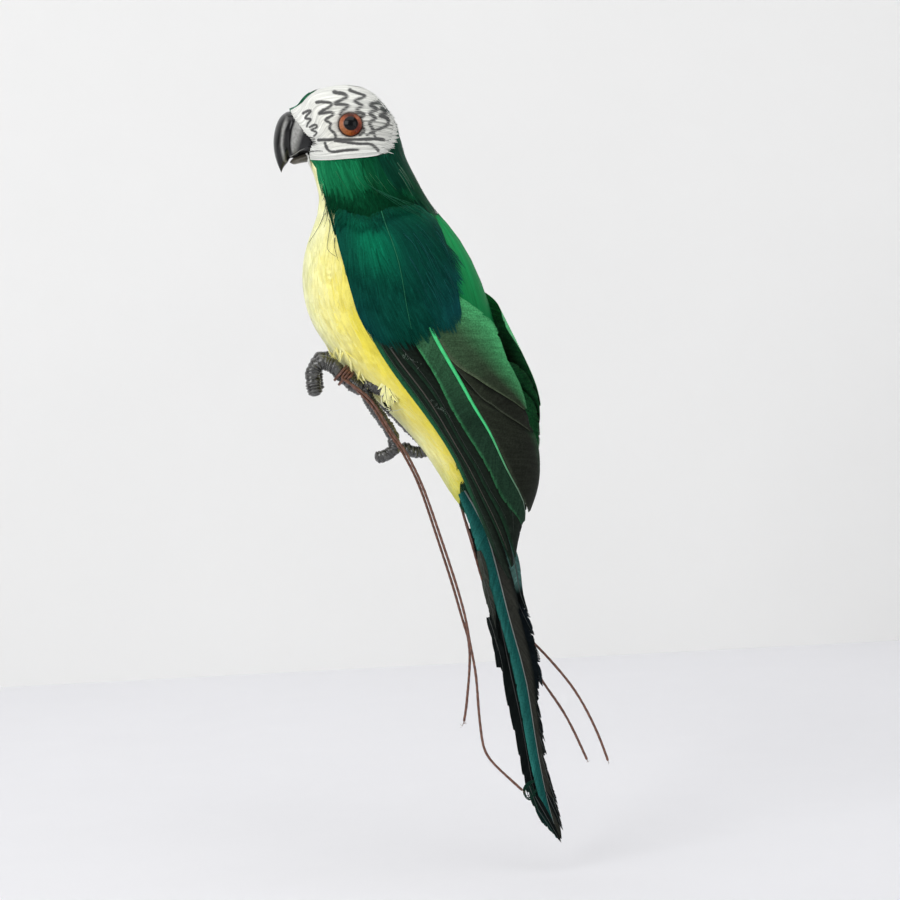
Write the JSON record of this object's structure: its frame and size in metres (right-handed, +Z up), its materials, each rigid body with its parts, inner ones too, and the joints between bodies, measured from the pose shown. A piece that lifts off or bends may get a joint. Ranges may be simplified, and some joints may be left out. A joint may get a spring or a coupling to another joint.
{
  "type": "feather parrot figurine",
  "caption": "Craft parrot covered in dyed feathers, head up and tail hanging straight down, with wire feet and tie wires that hold it on a perch.",
  "frame": {"origin": "on the mid-plane between the feet, where the toes and legs meet and close round a perch", "axes": "+Z up along the bird's length, -X where the beak points, +Y to the bird's right side"},
  "size_m": [0.1346, 0.0708, 0.3424],
  "materials": {
    "yellow_feathers": "dyed pale yellow feathers, soft and matte",
    "white_feathers": "white feather barbs with grey marker squiggles",
    "teal_feathers": "dyed dark teal green feathers, silky",
    "mantle_feathers": "dyed bright green feathers, silky",
    "secondary_feathers": "olive black wing feathers with green rims",
    "primary_feathers": "dark green wing feathers",
    "tail_feathers": "long feathers, one vane teal and one black",
    "black_beak": "gloss black moulded plastic",
    "grey_beak": "dull brown grey",
    "amber_eye": "clear glossy dome over an amber iris and black pupil",
    "wrapped_wire": "lumpy grey black wrapping on bent wire",
    "brown_wire": "brown paper-wrapped iron wire"
  },
  "bodies": {
    "root": {"body": "yellow_feathers", "beak_upper": "black_beak", "beak_lower": "grey_beak", "crown_feather": "teal_feathers", "eye_left": "amber_eye", "eye_right": "amber_eye", "face_patch_left": "white_feathers", "face_patch_right": "white_feathers", "nape_feather": "teal_feathers", "neck_feather_left": "teal_feathers", "neck_feather_right": "teal_feathers", "mantle_feather": "mantle_feathers", "rump_feather": "secondary_feathers", "shoulder_feather_left": "teal_feathers", "shoulder_feather_right": "teal_feathers", "wing_left_secondary_1": "secondary_feathers", "wing_left_secondary_2": "secondary_feathers", "wing_left_secondary_3": "secondary_feathers", "wing_left_secondary_4": "secondary_feathers", "wing_left_primary_1": "primary_feathers", "wing_left_primary_2": "primary_feathers", "wing_left_primary_3": "primary_feathers", "wing_right_secondary_1": "secondary_feathers", "wing_right_secondary_2": "secondary_feathers", "wing_right_secondary_3": "secondary_feathers", "wing_right_secondary_4": "secondary_feathers", "wing_right_primary_1": "primary_feathers", "wing_right_primary_2": "primary_feathers", "wing_right_primary_3": "primary_feathers", "tail_feather_long_left": "tail_feathers", "tail_feather_dark_left": "tail_feathers", "tail_feather_dark_right": "tail_feathers", "tail_feather_long_right": "tail_feathers", "tail_covert": "tail_feathers", "foot_left": "wrapped_wire", "foot_right": "wrapped_wire", "tie_wire_left_a": "brown_wire", "tie_wire_left_b": "brown_wire", "tie_wire_right_a": "brown_wire", "tie_wire_right_b": "brown_wire"}
  },
  "joints": []
}
